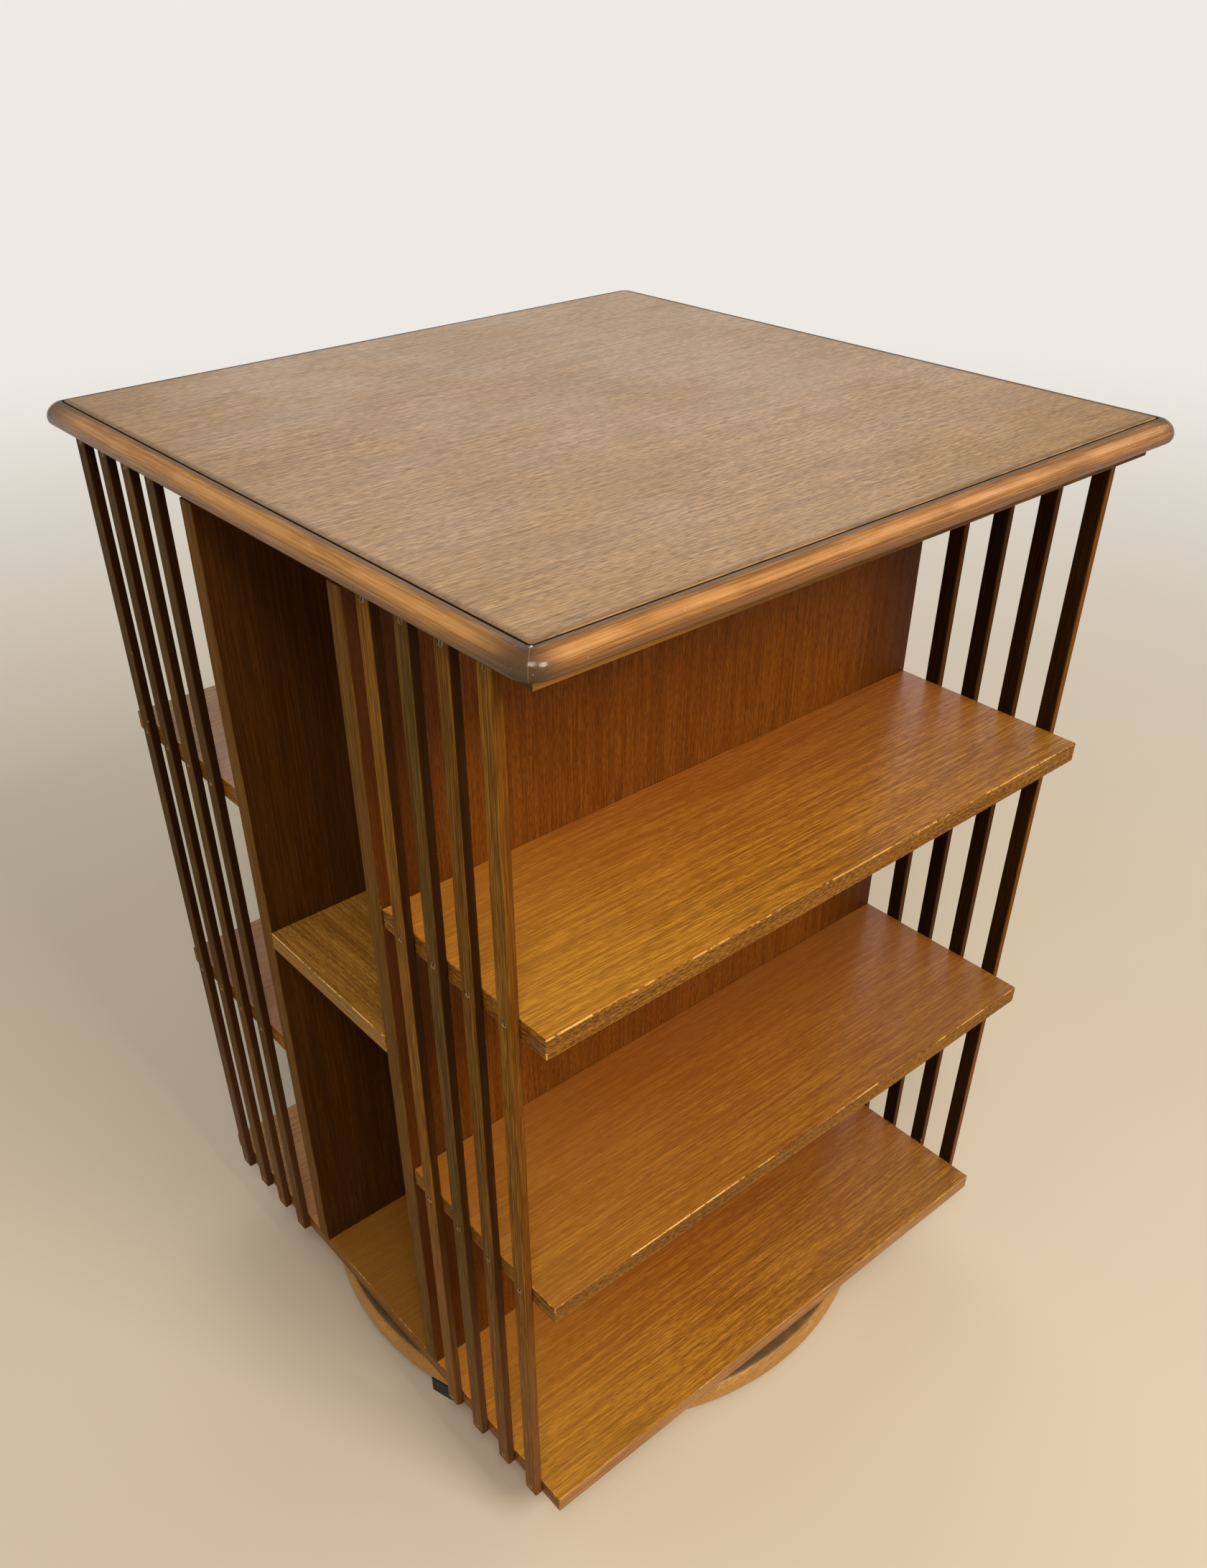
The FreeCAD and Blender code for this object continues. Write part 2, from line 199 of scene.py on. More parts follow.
def stretch(tree, vector, factors):
    return add(tree, "VectorMath", {0: vector, 1: factors}, operation="MULTIPLY").outputs["Vector"]


# The parts of a vector along X, Y and Z
def split(tree, vector):
    return add(tree, "SeparateXYZ", {0: vector}).outputs


# How far a value lies from zero
def size_of(tree, value):
    return calc(tree, "ABSOLUTE", value)


# The way a surface faces, as its parts along X, Y and Z
def facing(tree):
    return split(tree, add(tree, "TexCoord").outputs["Normal"])


# A soft round spot of this radius about one place
def spot(tree, place, centre, radius):
    core = radius * 0.6
    away = add(tree, "VectorMath", {0: place, 1: centre}, operation="DISTANCE").outputs["Value"]
    return rise(tree, away, core, radius, 1.0, 0.0)


# Starts a node group with its named inputs, each with a kind and a value, and its named outputs
def start_group(name, inputs, outputs):
    tree = bpy.data.node_groups.new(name, "ShaderNodeTree")
    for label, (kind, value) in inputs.items():
        socket = tree.interface.new_socket(label, in_out="INPUT", socket_type="NodeSocket" + kind)
        socket.default_value = value
    for label, kind in outputs.items():
        tree.interface.new_socket(label, in_out="OUTPUT", socket_type="NodeSocket" + kind)
    return tree, tree.nodes.new("NodeGroupInput").outputs, tree.nodes.new("NodeGroupOutput").inputs


# Open-pored wood that grows along X: short dark pore dashes that may run a little aslant,
# fine lines along the grain and broad streaks
def grain_group():
    inputs = {
        "Vector": ("Vector", (0, 0, 0)),
        "Pore Width": ("Float", 0.0006),
        "Pore Run": ("Float", 8.0),
        "Slant": ("Float", 0.0),
        "Streak Width": ("Float", 0.018),
        "Streak Run": ("Float", 26.0),
    }
    outputs = {"Pores": "Float", "Fibre": "Float", "Streak": "Float"}
    tree, given, result = start_group("Oak grain", inputs, outputs)
    wander = clouds(tree, given["Vector"], 0.15, 1.0, "Color")
    sway = add(tree, "VectorMath", {0: wander, 1: (0.5, 0.5, 0.5)}, operation="SUBTRACT").outputs["Vector"]
    sideways = stretch(tree, sway, (0, 0.003, 0.003))
    swayed = add(tree, "VectorMath", {0: sideways, 1: given["Vector"]}, operation="ADD").outputs["Vector"]

    apart = split(tree, swayed)
    leaning = calc(tree, "ADD", apart["Y"], times(tree, apart["X"], given["Slant"]))
    slanted = add(tree, "CombineXYZ", {"X": apart["X"], "Y": leaning, "Z": apart["Z"]}).outputs["Vector"]

    def stretched(place, width, run):
        across = calc(tree, "DIVIDE", 1.0, width)
        along = calc(tree, "DIVIDE", across, run)
        factors = add(tree, "CombineXYZ", {"X": along, "Y": across, "Z": across}).outputs["Vector"]
        return stretch(tree, place, factors)

    dashes = stretched(slanted, given["Pore Width"], given["Pore Run"])
    lines = stretched(swayed, times(tree, given["Pore Width"], 2.0), 70.0)
    bands = stretched(swayed, given["Streak Width"], given["Streak Run"])
    pores = rise(tree, clouds(tree, dashes, 1.0, 0.0), 0.46, 0.6)
    crowd = rise(tree, clouds(tree, bands, 0.35, 2.0), 0.3, 0.65, 0.75, 1.0)
    feed(tree, result["Pores"], times(tree, pores, crowd))
    feed(tree, result["Fibre"], rise(tree, clouds(tree, lines, 1.0, 2.0), 0.35, 0.65))
    feed(tree, result["Streak"], rise(tree, clouds(tree, bands, 1.0, 3.0), 0.3, 0.7))
    return tree


# Bare wood on worn arrises, in broken stretches, and all over the knocked places
def wear_group():
    inputs = {"Vector": ("Vector", (0, 0, 0)), "Amount": ("Float", 0.4)}
    tree, given, result = start_group("Edge wear", inputs, {"Bare": "Float"})
    arris = add(tree, "Attribute", attribute_name="arris").outputs["Fac"]
    knocked = add(tree, "Attribute", attribute_name="knocked").outputs["Fac"]
    patches = clouds(tree, given["Vector"], 0.035, 2.0)
    nicks = clouds(tree, given["Vector"], 0.004, 3.0)
    worn_and_lit_patches = calc(tree, "ADD", times(tree, patches, 0.6), times(tree, nicks, 0.4))
    limit = calc(tree, "SUBTRACT", 0.72, times(tree, given["Amount"], 0.3))
    bare = times(tree, arris, rise(tree, calc(tree, "SUBTRACT", worn_and_lit_patches, limit), -0.03, 0.05))
    chipped = times(tree, knocked, rise(tree, nicks, 0.32, 0.45))
    feed(tree, result["Bare"], calc(tree, "MAXIMUM", bare, chipped))
    return tree


# Old varnish: duller and shinier patches, and a faint unevenness
def varnish_group():
    inputs = {"Vector": ("Vector", (0, 0, 0)), "Shiny": ("Float", 0.28), "Dull": ("Float", 0.42)}
    tree, given, result = start_group("Old varnish", inputs, {"Roughness": "Float", "Height": "Float"})
    patches = rise(tree, clouds(tree, given["Vector"], 0.09, 4.0), 0.35, 0.65)
    span = calc(tree, "SUBTRACT", given["Dull"], given["Shiny"])
    feed(tree, result["Roughness"], calc(tree, "ADD", given["Shiny"], times(tree, patches, span)))
    feed(tree, result["Height"], clouds(tree, given["Vector"], 0.006, 1.0))
    return tree


groups = {"grain": grain_group(), "wear": wear_group(), "varnish": varnish_group()}
grain_turns = {"X": (0, 0, 0), "Y": (0, 0, math.radians(-90)), "Z": (0, math.radians(90), 0)}

# Draws flecks and tool marks out level, and the spacing of the tool marks
drawn_out = (0.15, 0.15, 1)
mark_spacing = 0.0006


def start_finish(name):
    material = bpy.data.materials.new(name)
    material.use_nodes = True
    tree = material.node_tree
    return material, tree, tree.nodes["Principled BSDF"], add(tree, "TexCoord").outputs["Object"]


# How far a place stands from the middle of the plan, to the nearest side and along that side
def plan_distances(tree, place):
    apart = split(tree, place)
    x = size_of(tree, apart["X"])
    y = size_of(tree, apart["Y"])
    return calc(tree, "MAXIMUM", x, y), calc(tree, "MINIMUM", x, y)


# Stained and varnished oak, its grain along one axis
# tones are the dark, middle and light tone of the wood; shade may tint it and make it rougher in places
def oak(name, along, tones, pore_tone, bare_tone, pore_share=0.5, pore_width=0.0006, pore_run=8.0,
        slant=0.0, streak_width=0.018, streak_share=0.4, gloss=(0.3, 0.42), sheen=0.4, wear=0.4, relief=0.15,
        shade=None):
    material, tree, shader, place = start_finish(name)
    turned = add(tree, "Mapping", {"Vector": place, "Rotation": grain_turns[along]}).outputs["Vector"]
    inputs = {"Vector": turned, "Pore Width": pore_width, "Pore Run": pore_run, "Slant": slant,
              "Streak Width": streak_width}
    grain = add(tree, "Group", inputs, node_tree=groups["grain"]).outputs
    streaks = times(tree, grain["Streak"], streak_share)
    level = calc(tree, "ADD", streaks, times(tree, grain["Fibre"], 1 - streak_share))
    ramp = add(tree, "ValToRGB", {"Fac": level})
    stops = ramp.color_ramp.elements
    stops[0].position = 0.2
    stops[0].color = tones[0]
    stops[1].position = 0.8
    stops[1].color = tones[2]
    stops.new(0.5).color = tones[1]
    colour = mix(tree, times(tree, grain["Pores"], pore_share), ramp.outputs["Color"], pore_tone)
    rougher = 0.0
    if shade:
        colour, rougher = shade(tree, place, colour)
    bare = add(tree, "Group", {"Vector": place, "Amount": wear}, node_tree=groups["wear"]).outputs["Bare"]
    colour = mix(tree, bare, colour, bare_tone)
    inputs = {"Vector": place, "Shiny": gloss[0], "Dull": gloss[1]}
    varnish = add(tree, "Group", inputs, node_tree=groups["varnish"]).outputs
    roughness = calc(tree, "ADD", varnish["Roughness"], times(tree, grain["Pores"], 0.1))
    roughness = calc(tree, "ADD", roughness, times(tree, bare, 0.3))
    roughness = calc(tree, "ADD", roughness, rougher, clamp=True)
    height = calc(tree, "SUBTRACT", times(tree, grain["Fibre"], 0.3), times(tree, grain["Pores"], 0.7))
    height = calc(tree, "ADD", height, times(tree, varnish["Height"], 0.05))
    bump = add(tree, "Bump", {"Height": height, "Strength": relief, "Distance": 0.0003}).outputs["Normal"]
    feed(tree, shader.inputs["Base Color"], colour)
    feed(tree, shader.inputs["Roughness"], roughness)
    feed(tree, shader.inputs["Normal"], bump)
    shader.inputs["Specular IOR Level"].default_value = sheen
    return material


# A darker margin round the panel, a thin warm line where its front arris is rubbed,
# and grime with near-black painted shade down in the groove
def panel_shade(tree, place, colour):
    apart = split(tree, place)
    edge = calc(tree, "SUBTRACT", half_panel, plan_distances(tree, place)[0])
    colour = mix(tree, rise(tree, edge, 0.002, 0.006, 0.5, 0.0), colour, tone(84, 60, 38))
    front = rise(tree, calc(tree, "ADD", apart["Y"], half_panel), 0.002, 0.004, 1.0, 0.25)
    worn_and_lit_patches = rise(tree, clouds(tree, place, 0.03, 3.0), 0.44, 0.56, 0.05, 0.6)
    worn_and_lit_line = times(tree, rise(tree, edge, 0.0004, 0.0010, 1.0, 0.0), times(tree, worn_and_lit_patches, front))
    colour = mix(tree, worn_and_lit_line, colour, tone(184, 132, 78))
    # Grime and painted shade: the panel's side wall below its roll, down in the groove, is painted near black
    roll_foot = panel_top - panel_roll_drop
    dirt_and_groove_shade = rise(tree, apart["Z"], roll_foot - 0.0003, roll_foot + 0.0002, 1.0, 0.0)
    return mix(tree, dirt_and_groove_shade, colour, tone(16, 11, 7)), times(tree, dirt_and_groove_shade, 0.5)


# Dirty and dull beside the groove, grime and near-black painted shade down in it, dark and polished by hands
# round the corners, with filler in the mitre; a painted highlight along the shoulder of the bullnose, painted
# shade underneath
def lipping_shade(tree, place, colour):
    out, along = plan_distances(tree, place)
    ledge = calc(tree, "SUBTRACT", out, half_panel)
    uneven = times(tree, clouds(tree, place, 0.03, 2.0), 0.004)
    dirt_and_groove_shade = rise(tree, calc(tree, "SUBTRACT", ledge, uneven), 0.0012, 0.0042, 0.8, 0.0)
    colour = mix(tree, dirt_and_groove_shade, colour, tone(92, 72, 54))
    slope = facing(tree)["Z"]
    # Painted highlight along the shoulder of the bullnose, broken up by noise
    lit_shoulder = times(tree, rise(tree, slope, 0.45, 0.7), rise(tree, slope, 0.8, 0.97, 1.0, 0.0))
    highlight_breakup = rise(tree, clouds(tree, place, 0.05, 4.0), 0.35, 0.65, 0.15, 0.5)
    colour = mix(tree, times(tree, lit_shoulder, highlight_breakup), colour, tone(204, 150, 92))
    # Painted shade on the underside of the bullnose
    colour = mix(tree, rise(tree, slope, 0.0, 0.4, 0.6, 0.0), colour, tone(88, 50, 20))
    apart = split(tree, place)
    on_end = calc(tree, "GREATER_THAN", size_of(tree, apart["X"]), size_of(tree, apart["Y"]))
    start = calc(tree, "SUBTRACT", front_corner_start, times(tree, on_end, end_corner_reach))
    towards_corner = calc(tree, "ADD", along, times(tree, uneven, 3.0))
    corner = rise(tree, towards_corner, start, corner_dark_line, 0.0, 0.92)
    colour = mix(tree, corner, colour, tone(60, 43, 25))
    # Grime and near-black painted shade down in the groove
    groove = rise(tree, ledge, groove_width, groove_width * 1.3, 1.0, 0.0)
    colour = mix(tree, groove, colour, tone(24, 17, 11))
    specks = rise(tree, clouds(tree, place, 0.0022, 2.0), 0.74, 0.77, 0.0, 0.6)
    colour = mix(tree, specks, colour, tone(232, 190, 140))
    mitre = rise(tree, size_of(tree, calc(tree, "SUBTRACT", out, along)), 0.0001, 0.0004, 0.45, 0.0)
    colour = mix(tree, mitre, colour, tone(146, 116, 84))
    crumbled = rise(tree, clouds(tree, place, 0.002, 2.0), 0.4, 0.5)
    chip = times(tree, spot(tree, place, chip_place, chip_radius), crumbled)
    colour = mix(tree, chip, colour, tone(224, 192, 150))
    duller = times(tree, calc(tree, "MAXIMUM", dirt_and_groove_shade, groove), 0.4)
    return colour, calc(tree, "SUBTRACT", duller, times(tree, corner, 0.2))


# Painted light and shade: redder towards the partitions as a painted reflection of them, darker in the
# channel between them, on the lower shelves under the upper ones and towards the right-hand end, and paler
# towards the left-hand end
def shelf_shade(tree, place, colour):
    apart = split(tree, place)
    out = size_of(tree, apart["Y"])
    # Painted reflection of the partitions, redder towards them
    colour = mix(tree, rise(tree, out, 0.1, half_carcass, 0.5, 0.0), colour, tone(164, 80, 24))
    # Painted shade in the channel between the partitions
    channel_shade = rise(tree, out, 0.08, 0.09, 0.4, 0.0)
    colour = mix(tree, channel_shade, colour, tone(84, 60, 20))
    # Painted light, paler towards the left-hand end
    colour = mix(tree, rise(tree, apart["X"], -half_carcass, 0.0, 0.25, 0.0), colour, tone(196, 146, 58))
    # Painted shade on the lower shelves, under the upper ones
    lower = times(tree, rise(tree, apart["Z"], 0.1, 0.3), rise(tree, apart["Z"], 0.4, 0.5, 0.4, 0.0))
    colour = mix(tree, lower, colour, tone(128, 72, 26))
    # Painted shade towards the right-hand end
    return mix(tree, rise(tree, apart["X"], -0.1, half_carcass, 0.0, 0.3), colour, tone(104, 68, 34)), 0.0


# Dust and painted shade on the flat top under the carcass, and a painted highlight along the lower arris
def disc_shade(tree, place, colour):
    height = split(tree, place)["Z"]
    # Dust and painted shade on the flat top, under the carcass
    patchy_share = rise(tree, clouds(tree, place, 0.02, 4.0), 0.3, 0.7, 0.75, 0.92)
    dust_and_shade = times(tree, rise(tree, height, disc_top - 0.0012, disc_top - 0.0002), patchy_share)
    colour = mix(tree, dust_and_shade, colour, tone(78, 62, 46))
    # Painted highlight: a paler line along the lower arris
    worn_and_lit_patches = rise(tree, clouds(tree, place, 0.03, 3.0), 0.4, 0.6, 0.0, 0.5)
    worn_and_lit_line = times(tree, rise(tree, height, disc_low + 0.002, disc_low + 0.004, 1.0, 0.0), worn_and_lit_patches)
    return mix(tree, worn_and_lit_line, colour, tone(226, 190, 132)), times(tree, dust_and_shade, 0.3)


# Painted light: paler towards the left-hand end
def rail_shade(tree, place, colour):
    painted_light = rise(tree, split(tree, place)["X"], -half_carcass, 0.0, 0.7, 0.0)
    return mix(tree, painted_light, colour, tone(176, 122, 60)), 0.0


# Darker towards the ends, where the slats keep the light off
def partition_shade(tree, place, colour):
    across = size_of(tree, split(tree, place)["X"])
    darker = rise(tree, across, half_carcass * 0.6, half_carcass, 0.0, 0.75)
    return mix(tree, darker, colour, tone(58, 26, 5)), 0.0


# The radial faces of a slat are redder from the stain and darker from painted shade, darker still where its
# neighbours hide them; painted light from the floor makes its foot paler, and its inner face is painted
# near-black shade
def slat_shade(tree, place, colour):
    faces = facing(tree)
    radial = rise(tree, size_of(tree, faces["Y"]), 0.55, 0.85)
    # Redder stain and painted shade on the radial faces
    colour = mix(tree, times(tree, radial, 0.6), colour, tone(88, 44, 8))
    apart = split(tree, place)
    outermost = calc(tree, "GREATER_THAN", size_of(tree, apart["Y"]), outer_slat - outermost_margin)
    outward = calc(tree, "GREATER_THAN", times(tree, faces["Y"], apart["Y"]), 0.0)
    # Painted shade where neighbouring slats hide the radial faces, less towards the foot
    shaded = rise(tree, apart["X"], -0.1, 0.1, 0.85, 0.35)
    neighbour_shade = calc(tree, "SUBTRACT", shaded, times(tree, outermost, outward), clamp=True)
    neighbour_shade = times(tree, neighbour_shade, rise(tree, apart["Z"], 0.1, 0.5, 0.4, 1.0))
    # Painted light from the floor: paler towards the foot
    colour = mix(tree, rise(tree, apart["Z"], 0.1, 0.4, 0.25, 0.0), colour, tone(140, 98, 70))
    colour = mix(tree, times(tree, radial, neighbour_shade), colour, tone(34, 17, 6))
    reach = size_of(tree, apart["X"])
    # Painted shade: the inner face is near black
    inner = rise(tree, reach, half_carcass + 0.0002, half_carcass + 0.001, 0.9, 0.0)
    return mix(tree, inner, colour, tone(24, 11, 4)), 0.0


# Short pale and dark flecks, as on veneer laid along an edge
def fleck_shade(tree, place, colour):
    flecks = clouds(tree, stretch(tree, place, drawn_out), 0.0007, 1.0)
    colour = mix(tree, rise(tree, flecks, 0.5, 0.62, 0.0, 0.4), colour, tone(176, 120, 38))
    return mix(tree, rise(tree, flecks, 0.36, 0.5, 0.45, 0.0), colour, tone(66, 39, 9)), 0.0


# Ink-dark stained hardwood, rubbed brown where shoes and brooms have caught it
def black_wood():
    material, tree, shader, place = start_finish("black_foot")
    worn_and_lit_patches = rise(tree, clouds(tree, place, 0.014, 4.0), 0.56, 0.66, 0.0, 0.5)
    colour = mix(tree, worn_and_lit_patches, tone(28, 34, 32), tone(92, 74, 52))
    feed(tree, shader.inputs["Base Color"], colour)
    feed(tree, shader.inputs["Roughness"], rise(tree, clouds(tree, place, 0.02, 3.0), 0.3, 0.7, 0.45, 0.7))
    bump = add(tree, "Bump", {"Height": clouds(tree, place, 0.003, 3.0), "Strength": 0.3, "Distance": 0.0005})
    feed(tree, shader.inputs["Normal"], bump.outputs["Normal"])
    return material


# Turned or drawn metal with fine tool marks round the spindle's axis, a little stained, grime and painted
# shade in screw slots
def metal(name, bright, stain, roughness):
    material, tree, shader, place = start_finish(name)
    blotches = rise(tree, clouds(tree, place, 0.008, 4.0), 0.5, 0.7, 0.0, 0.7)
    # Grime and near-black painted shade in the screw slots
    slot_grime_and_shade = times(tree, add(tree, "Attribute", attribute_name="slot").outputs["Fac"], 0.9)
    stained = mix(tree, blotches, bright, stain)
    feed(tree, shader.inputs["Base Color"], mix(tree, slot_grime_and_shade, stained, tone(20, 14, 8)))
    feed(tree, shader.inputs["Roughness"], calc(tree, "ADD", times(tree, blotches, 0.25), roughness))
    marks = clouds(tree, stretch(tree, place, drawn_out), mark_spacing, 1.0)
    bump = add(tree, "Bump", {"Height": marks, "Strength": 0.25, "Distance": 0.0001}).outputs["Normal"]
    feed(tree, shader.inputs["Normal"], bump)
    shader.inputs["Metallic"].default_value = 1.0
    return material


half_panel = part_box("top_panel")[1].x
half_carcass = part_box("bottom_board")[1].x
panel_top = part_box("top_panel")[1].z
disc_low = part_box("base_disc")[0].z
disc_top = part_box("base_disc")[1].z
outer_slat = (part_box("slat_left_8")[0].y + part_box("slat_left_8")[1].y) / 2
chip_place = (-half_panel - chip_offset, -half_panel - chip_offset, panel_top - panel_roll_drop)
pore_dark = tone(48, 27, 10)
bare_oak = tone(232, 194, 132)
worn_edge = tone(196, 148, 76)

top_tones = (tone(132, 99, 50), tone(149, 113, 61), tone(163, 125, 70))
shelf_tones = (tone(144, 91, 24), tone(172, 114, 33), tone(198, 137, 47))
niche_tones = (tone(152, 104, 38), tone(174, 122, 48), tone(194, 140, 60))
plain_edge_tones = (tone(124, 86, 30), tone(138, 98, 36), tone(152, 110, 44))
# A darker copy of the partition's tones, painted shade for the niche walls
shaded_wall_tones = (tone(68, 37, 6), tone(77, 42, 8), tone(88, 50, 11))
board_edge_tones = (tone(142, 96, 50), tone(160, 112, 62), tone(176, 126, 74))
upright_edge_tones = (tone(92, 60, 17), tone(102, 68, 21), tone(114, 77, 26))
partition_tones = (tone(111, 59, 12), tone(122, 67, 16), tone(134, 75, 20))
lipping_tones = (tone(140, 95, 38), tone(156, 108, 46), tone(171, 121, 56))
front_lipping_tones = (tone(116, 74, 29), tone(136, 90, 38), tone(156, 106, 50))
rail_tones = (tone(84, 50, 12), tone(106, 64, 18), tone(126, 80, 26))
edge_tones = (tone(96, 58, 16), tone(118, 74, 22), tone(140, 92, 32))
disc_tones = (tone(160, 112, 50), tone(174, 124, 58), tone(188, 138, 68))
beech_tones = (tone(176, 136, 96), tone(190, 150, 108), tone(202, 164, 122))
slat_tones = {
    "golden": (tone(106, 68, 15), tone(124, 81, 22), tone(142, 96, 31)),
    "olive": (tone(76, 53, 17), tone(92, 65, 22), tone(108, 78, 29)),
    "brown": (tone(84, 54, 12), tone(106, 70, 18), tone(126, 84, 26)),
    "umber": (tone(64, 43, 14), tone(78, 54, 19), tone(92, 65, 25)),
}

# Looks that more than one finish shares
lipping_look = {"pore_share": 0.35, "pore_width": 0.0005, "pore_run": 40.0, "streak_width": 0.004,
                "streak_share": 0.2, "gloss": (0.24, 0.34), "sheen": 0.35, "wear": 0.25, "relief": 0.1,
                "shade": lipping_shade}
edge_look = {"pore_share": 0.3, "pore_run": 5.0, "streak_width": 0.01, "sheen": 0.05, "shade": fleck_shade}
board_edge_look = {"pore_share": 0.25, "pore_run": 20.0, "streak_width": 0.006, "wear": 0.6}
rail_look = {"pore_run": 20.0, "streak_width": 0.005, "sheen": 0.05}
slat_look = {"pore_width": 0.00045, "pore_run": 36.0, "streak_width": 0.003, "streak_share": 0.25,
             "gloss": (0.34, 0.46), "sheen": 0.02, "wear": 0.1, "shade": slat_shade}

finishes = {
    "top": oak("oak_veneer_top", "X", top_tones, tone(84, 58, 30), bare_oak, pore_share=0.6,
               pore_width=0.0005, pore_run=14.0, slant=0.07, streak_width=0.004, gloss=(0.39, 0.45),
               relief=0.08, shade=panel_shade),
    "shelf": oak("oak_veneer_shelf", "X", shelf_tones, tone(84, 44, 8), bare_oak, pore_share=0.6,
                 pore_width=0.0005, pore_run=20.0, slant=0.05, streak_width=0.003, streak_share=0.5,
                 relief=0.1, wear=0.3, shade=shelf_shade),
    "niche": oak("oak_veneer_niche", "Y", niche_tones, tone(98, 60, 18), bare_oak, gloss=(0.34, 0.46),
                 sheen=0.15, wear=0.3),
    "niche_edge": oak("oak_niche_edge", "Y", plain_edge_tones, pore_dark, tone(236, 190, 104),
                      pore_share=0.2, pore_run=12.0, sheen=0.06, wear=0.8),
    "board_edge_x": oak("oak_board_edge_x", "X", board_edge_tones, pore_dark, worn_edge, sheen=0.15,
                        **board_edge_look),
    "board_edge_y": oak("oak_board_edge_y", "Y", edge_tones, pore_dark, worn_edge, sheen=0.05,
                        **board_edge_look),
    # Painted shade: the niche walls take a darker copy of the partition's finish
    "wall": oak("oak_wall_painted_shade", "Z", shaded_wall_tones, tone(44, 22, 4), bare_oak, pore_share=0.3, pore_run=20.0,
                streak_width=0.012, gloss=(0.4, 0.5), sheen=0.1, wear=0.0),
    "edge_x": oak("oak_edge_x", "X", edge_tones, pore_dark, worn_edge, wear=0.7, **edge_look),
    "edge_y": oak("oak_edge_y", "Y", edge_tones, pore_dark, worn_edge, **edge_look),
    "edge_z": oak("oak_edge_z", "Z", upright_edge_tones, pore_dark, worn_edge, pore_share=0.3,
                  pore_width=0.0005, pore_run=30.0, streak_width=0.004, streak_share=0.3, sheen=0.02,
                  wear=0.1),
    "partition": oak("oak_partition", "Z", partition_tones, tone(70, 32, 5), bare_oak, pore_share=0.45,
                     pore_run=10.0, streak_width=0.006, gloss=(0.34, 0.46), sheen=0.06, wear=0.2,
                     shade=partition_shade),
    "inside": oak("oak_veneer_inside", "X", partition_tones, tone(60, 28, 10), bare_oak,
                  gloss=(0.45, 0.6), sheen=0.2, wear=0.2),
    "lipping_x": oak("oak_lipping_x", "X", front_lipping_tones, pore_dark, bare_oak, **lipping_look),
    "lipping_y": oak("oak_lipping_y", "Y", lipping_tones, pore_dark, bare_oak, **lipping_look),
    "rail_x": oak("oak_frame_x", "X", rail_tones, pore_dark, bare_oak, shade=rail_shade, **rail_look),
    "rail_y": oak("oak_frame_y", "Y", rail_tones, pore_dark, bare_oak, **rail_look),
    "disc": oak("oak_base", "X", disc_tones, tone(112, 72, 28), bare_oak, pore_share=0.3, pore_run=20.0,
                sheen=0.3, shade=disc_shade),
    "beech": oak("beech_dowel", "Y", beech_tones, tone(140, 100, 66), bare_oak, pore_share=0.3,
                 pore_width=0.0005, gloss=(0.5, 0.65)),
    "foot": black_wood(),
    "screw": metal("dark_screw", tone(122, 102, 74), tone(54, 42, 28), 0.4),
    "steel": metal("bright_steel", tone(176, 176, 180), tone(120, 112, 100), 0.25),
    "polished": metal("polished_steel", tone(214, 214, 218), tone(190, 188, 186), 0.08),
    "bronze": metal("bearing_bronze", tone(196, 158, 92), tone(128, 92, 46), 0.3),
}
for look, tones in slat_tones.items():
    finishes["slat_" + look] = oak("oak_slat_" + look, "Z", tones, pore_dark, tone(196, 152, 82), **slat_look)


# Leaves edit mode, with nothing selected
def let_go():
    if bpy.context.object and bpy.context.object.mode != "OBJECT":
        bpy.ops.object.mode_set(mode="OBJECT")
    bpy.ops.object.select_all(action="DESELECT")


# Selects one piece alone and makes it the active one
def hold(piece):
    let_go()
    piece.select_set(True)
    bpy.context.view_layer.objects.active = piece


# Takes a piece up for work in edit mode
def take_up(piece):
    hold(piece)
    bpy.ops.object.mode_set(mode="EDIT")


# Sets the place and turn of a new primitive into its mesh, under its own name
def settle(name):
    piece = bpy.context.object
    piece.name = name
    piece.data.name = name
    bpy.ops.object.transform_apply(location=True, rotation=True, scale=True)
    return piece


def block(name, low, high):
    let_go()
    bpy.ops.mesh.primitive_cube_add(size=1, location=(low + high) / 2, scale=high - low)
    return settle(name)


# An upright rectangle across the Y axis, to draw a section from
def upright_sheet(name, low, high):
    let_go()
    bpy.ops.mesh.primitive_plane_add(size=1, location=(low + high) / 2, rotation=(math.pi / 2, 0, 0))
    bpy.ops.transform.resize(value=(high.x - low.x, 1, high.z - low.z))
    return settle(name)


# In edit mode, selects the vertices, edges or faces that a test accepts
def pick(piece, kind, accepts):
    bpy.ops.mesh.select_mode(type=kind)
    bpy.ops.mesh.select_all(action="DESELECT")
    bpy.ops.object.mode_set(mode="OBJECT")
    mesh = piece.data
    parts = {"VERT": mesh.vertices, "EDGE": mesh.edges, "FACE": mesh.polygons}[kind]
    for part in parts:
        part.select = accepts(mesh, part)
    bpy.ops.object.mode_set(mode="EDIT")


# True for an edge between two of the flat sides of a box
def on_arris(low, high):
    def accepts(mesh, edge):
        ends = [mesh.vertices[index].co for index in edge.vertices]
        sides = [(axis, side[axis]) for axis in range(3) for side in (low, high)]
        return sum(all(abs(point[axis] - level) < nothing for point in ends) for axis, level in sides) > 1
    return accepts


def runs_along(axis):
    def accepts(mesh, edge):
        ends = [mesh.vertices[index].co for index in edge.vertices]
        span = ends[1] - ends[0]
        return abs(span[axis]) > span.length * flat_side
    return accepts


